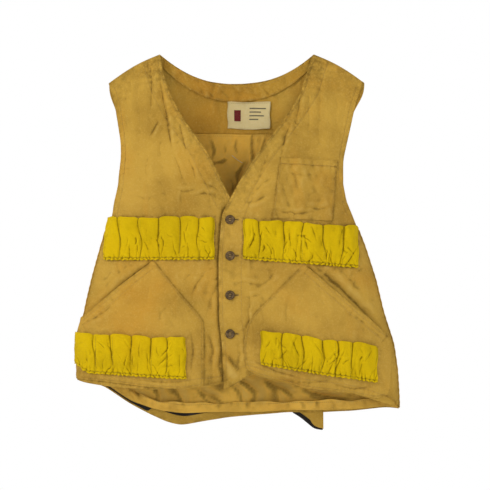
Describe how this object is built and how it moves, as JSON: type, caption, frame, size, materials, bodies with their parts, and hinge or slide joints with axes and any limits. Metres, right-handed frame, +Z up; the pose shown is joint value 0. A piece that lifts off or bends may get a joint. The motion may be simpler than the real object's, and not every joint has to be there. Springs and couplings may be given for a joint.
{
  "type": "sleeveless shell vest",
  "caption": "Sleeveless cotton duck vest with a V neck, button front, gathered shell loops, slanted patch pockets, a chest pocket and a game bag across the back.",
  "frame": {"origin": "where the hanger holds the vest, midway between the shoulders at the height of the neck points", "axes": "+X the wearer's left, -Y the front, +Z up as the vest hangs"},
  "size_m": [0.5056, 0.1307, 0.5923],
  "materials": {
    "canvas": "matte worn cotton duck",
    "lining": "matte cotton",
    "shell_loops": "matte gathered cotton",
    "waterproof_ply": "dull rubberised cloth",
    "label": "woven satin",
    "thread": "matte cotton thread",
    "buttons": "satin, slightly mottled"
  },
  "bodies": {
    "vest_back": {"back_panel": "canvas", "back_yoke": "canvas", "inner_back": "lining", "game_bag_ply": "waterproof_ply", "back_hem": "canvas", "neck_facing": "lining", "label": "label", "left_shoulder_piece": "canvas", "left_shoulder_facing": "lining", "left_shoulder_armhole_tape": "lining", "left_back_armhole_tape": "lining", "left_side_seam": "canvas", "right_shoulder_piece": "canvas", "right_shoulder_facing": "lining", "right_shoulder_armhole_tape": "lining", "right_back_armhole_tape": "lining", "right_side_seam": "canvas"},
    "left_front": {"left_front_panel": "canvas", "buttonhole_band": "canvas", "left_neck_facing": "lining", "left_front_hem": "canvas", "left_front_armhole_tape": "lining", "left_lower_pocket": "canvas", "left_pocket_lip": "lining", "chest_pocket": "canvas", "chest_pocket_hem": "canvas", "left_upper_shell_loops": "shell_loops", "left_lower_shell_loops": "shell_loops"},
    "right_front": {"right_front_panel": "canvas", "right_neck_facing": "lining", "button_stand": "lining", "right_front_hem": "canvas", "right_front_armhole_tape": "lining", "right_lower_pocket": "canvas", "right_pocket_lip": "lining", "right_upper_shell_loops": "shell_loops", "right_lower_shell_loops": "shell_loops"},
    "bag_corner": {"bag_corner": "canvas", "bag_corner_ply": "waterproof_ply"},
    "button_1": {"button_1": "buttons", "button_thread_1": "thread"},
    "button_2": {"button_2": "buttons", "button_thread_2": "thread"},
    "button_3": {"button_3": "buttons", "button_thread_3": "thread"},
    "button_4": {"button_4": "buttons", "button_thread_4": "thread"}
  },
  "joints": [
    {"name": "left_front_open", "type": "hinge", "parent": "vest_back", "child": "left_front", "pos_m": [0.196, 0, -0.285], "axis": [-0.2232, 0, 0.9748], "range_deg": [0, 80], "deforming": ["buttonhole_band"]},
    {"name": "right_front_open", "type": "hinge", "parent": "vest_back", "child": "right_front", "pos_m": [-0.2, 0, -0.275], "axis": [-0.2128, 0, -0.9771], "range_deg": [0, 40]},
    {"name": "bag_corner_swing", "type": "hinge", "parent": "vest_back", "child": "bag_corner", "pos_m": [0.118, 0.0595, -0.566], "axis": [1, 0, 0], "range_deg": [-10, 40]},
    {"name": "button_1_turn", "type": "hinge", "parent": "right_front", "child": "button_1", "pos_m": [-0.01, -0.0485, -0.256], "axis": [0, -1, 0], "range_deg": [-40, 40]},
    {"name": "button_2_turn", "type": "hinge", "parent": "right_front", "child": "button_2", "pos_m": [-0.01, -0.0485, -0.311], "axis": [0, -1, 0], "range_deg": [-40, 40]},
    {"name": "button_3_turn", "type": "hinge", "parent": "right_front", "child": "button_3", "pos_m": [-0.01, -0.0485, -0.371], "axis": [0, -1, 0], "range_deg": [-40, 40]},
    {"name": "button_4_turn", "type": "hinge", "parent": "right_front", "child": "button_4", "pos_m": [-0.01, -0.0485, -0.43], "axis": [0, -1, 0], "range_deg": [-40, 40]}
  ],
  "couplings": [
    {"joint": "right_front_open", "follows": "left_front_open", "ratio": 0.5}
  ]
}
